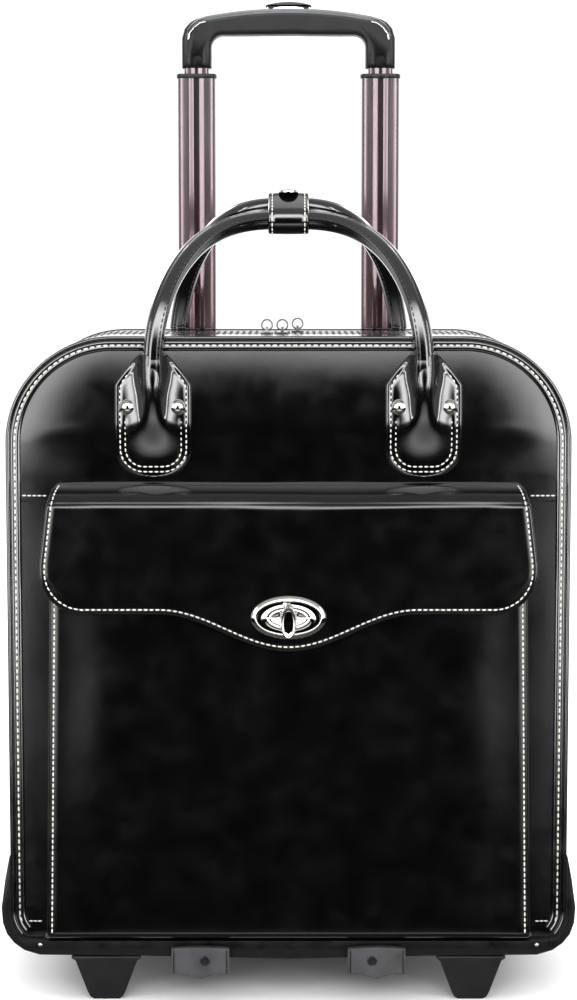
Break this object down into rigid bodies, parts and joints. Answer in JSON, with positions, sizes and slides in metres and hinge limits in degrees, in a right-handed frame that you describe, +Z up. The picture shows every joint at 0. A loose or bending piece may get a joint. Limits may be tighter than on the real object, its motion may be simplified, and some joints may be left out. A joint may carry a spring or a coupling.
{
  "type": "rolling laptop case",
  "caption": "Upright black leather wheeled laptop case: zipped compartments, flap pocket with turn lock, round carry handles, telescopic trolley and rear wheels.",
  "frame": {"origin": "centre of the bounding box's base, on the floor the case stands on", "axes": "+Z up, -Y towards the flap pocket, +X to the right of a viewer who faces that pocket"},
  "size_m": [0.3658, 0.203, 0.643],
  "materials": {
    "panel_leather": "glossy glazed black leather over board",
    "pocket_leather": "glossy glazed black leather",
    "trim_leather": "glossy glazed black leather with off-white stitching",
    "lining": "matte woven lining",
    "board": "matte covered board",
    "black_plastic": "satin moulded black plastic",
    "grey_plastic": "matte dark grey plastic",
    "grip_plastic": "satin charcoal plastic",
    "grip_insert_plastic": "soft-touch grey plastic",
    "chrome": "polished nickel plate",
    "plum_tube": "plum anodised aluminium",
    "dark_tube": "dark anodised aluminium",
    "steel": "plain steel",
    "tyre": "matte black rubber"
  },
  "bodies": {
    "case": {"axle_left": "steel", "axle_right": "steel", "back_panel": "panel_leather", "base_tray": "black_plastic", "bottom_board": "board", "centre_divider": "lining", "front_binding": "trim_leather", "front_foot_left": "black_plastic", "front_foot_right": "black_plastic", "front_panel": "panel_leather", "front_pocket": "pocket_leather", "front_tab_left": "trim_leather", "front_tab_right": "trim_leather", "gusset_left": "panel_leather", "gusset_right": "panel_leather", "lock_strike": "chrome", "outer_tube_left": "dark_tube", "outer_tube_right": "dark_tube", "rear_binding": "trim_leather", "rear_tab_left": "trim_leather", "rear_tab_right": "trim_leather", "rivet_left_inner": "chrome", "rivet_left_outer": "chrome", "rivet_right_inner": "chrome", "rivet_right_outer": "chrome", "toe_lip_left": "grey_plastic", "toe_lip_right": "grey_plastic", "trolley_cradle": "black_plastic", "trolley_sleeve": "pocket_leather", "trolley_top_bracket": "black_plastic", "wheel_housing_left": "black_plastic", "wheel_housing_right": "black_plastic"},
    "flap": {"flap": "pocket_leather", "lock_plate": "chrome"},
    "turn_knob": {"turn_knob": "chrome"},
    "front_handle": {"front_carry_handle": "trim_leather", "handle_keeper": "trim_leather", "keeper_snap": "chrome"},
    "rear_handle": {"rear_carry_handle": "trim_leather"},
    "front_zip_flap": {"front_zip_flap": "panel_leather"},
    "rear_zip_flap": {"rear_zip_flap": "panel_leather"},
    "front_zip_left_slider": {"front_zip_left_slider": "chrome"},
    "front_zip_right_slider": {"front_zip_right_slider": "chrome"},
    "rear_zip_slider": {"rear_zip_slider": "chrome"},
    "front_zip_left_ring": {"front_zip_left_ring": "chrome"},
    "front_zip_right_ring": {"front_zip_right_ring": "chrome"},
    "rear_zip_ring": {"rear_zip_ring": "chrome"},
    "trolley_middle": {"middle_tube_left": "plum_tube", "middle_tube_right": "plum_tube"},
    "trolley_grip": {"inner_tube_left": "plum_tube", "inner_tube_right": "plum_tube", "grip": "grip_plastic", "grip_insert": "grip_insert_plastic", "release_spring": "steel"},
    "release": {"push_button": "grip_insert_plastic", "release_yoke": "steel"},
    "wheel_left": {"wheel_hub_left": "grey_plastic", "tyre_left": "tyre"},
    "wheel_right": {"wheel_hub_right": "grey_plastic", "tyre_right": "tyre"}
  },
  "joints": [
    {"name": "flap_hinge", "type": "hinge", "parent": "case", "child": "flap", "pos_m": [0, -0.0685, 0.33], "axis": [-1, 0, 0], "range_deg": [0, 75]},
    {"name": "knob_turn", "type": "hinge", "parent": "flap", "child": "turn_knob", "pos_m": [0, -0.0948, 0.2472], "axis": [0, 1, 0], "range_deg": [0, 90]},
    {"name": "front_handle_swing", "type": "hinge", "parent": "case", "child": "front_handle", "pos_m": [0, -0.0753, 0.404], "axis": [1, 0, 0], "range_deg": [0, 150]},
    {"name": "rear_handle_swing", "type": "hinge", "parent": "case", "child": "rear_handle", "pos_m": [0, 0.0733, 0.404], "axis": [-1, 0, 0], "range_deg": [0, 7.5]},
    {"name": "front_zip_flap_hinge", "type": "hinge", "parent": "case", "child": "front_zip_flap", "pos_m": [0, -0.0627, 0.4223], "axis": [1, 0, 0], "range_deg": [0, 60]},
    {"name": "rear_zip_flap_hinge", "type": "hinge", "parent": "case", "child": "rear_zip_flap", "pos_m": [0, 0.0607, 0.4223], "axis": [-1, 0, 0], "range_deg": [0, 60]},
    {"name": "front_zip_left_slide", "type": "slide", "parent": "front_zip_flap", "child": "front_zip_left_slider", "axis": [1, 0, 0], "range_m": [-0.084, 0]},
    {"name": "front_zip_right_slide", "type": "slide", "parent": "front_zip_flap", "child": "front_zip_right_slider", "axis": [1, 0, 0], "range_m": [0, 0.1]},
    {"name": "rear_zip_slide", "type": "slide", "parent": "rear_zip_flap", "child": "rear_zip_slider", "axis": [1, 0, 0], "range_m": [-0.1, 0.09]},
    {"name": "front_zip_left_ring_swing", "type": "hinge", "parent": "front_zip_left_slider", "child": "front_zip_left_ring", "pos_m": [-0.014, -0.0055, 0.4265], "axis": [0, 1, 0], "range_deg": [-40, 0]},
    {"name": "front_zip_right_ring_swing", "type": "hinge", "parent": "front_zip_right_slider", "child": "front_zip_right_ring", "pos_m": [-0.004, -0.0055, 0.4265], "axis": [0, 1, 0], "range_deg": [0, 40]},
    {"name": "rear_zip_ring_swing", "type": "hinge", "parent": "rear_zip_slider", "child": "rear_zip_ring", "pos_m": [0.006, 0.0195, 0.4265], "axis": [0, 1, 0], "range_deg": [-40, 40]},
    {"name": "middle_stage_slide", "type": "slide", "parent": "case", "child": "trolley_middle", "axis": [0, 0, 1], "range_m": [-0.16, 0.13]},
    {"name": "grip_stage_slide", "type": "slide", "parent": "trolley_middle", "child": "trolley_grip", "axis": [0, 0, 1], "range_m": [0, 0.26]},
    {"name": "button_press", "type": "slide", "parent": "trolley_grip", "child": "release", "axis": [0, 0, 1], "range_m": [-0.002, 0], "stiffness_N_per_m": 1500, "springref_m": 0.001, "deforming": ["release_spring"]},
    {"name": "wheel_left_spin", "type": "hinge", "parent": "case", "child": "wheel_left", "pos_m": [-0.128, 0.0775, 0.024], "axis": [1, 0, 0], "continuous": true},
    {"name": "wheel_right_spin", "type": "hinge", "parent": "case", "child": "wheel_right", "pos_m": [0.128, 0.0775, 0.024], "axis": [1, 0, 0], "continuous": true}
  ],
  "couplings": [
    {"joint": "rear_handle_swing", "follows": "front_handle_swing", "ratio": 0.05}
  ]
}
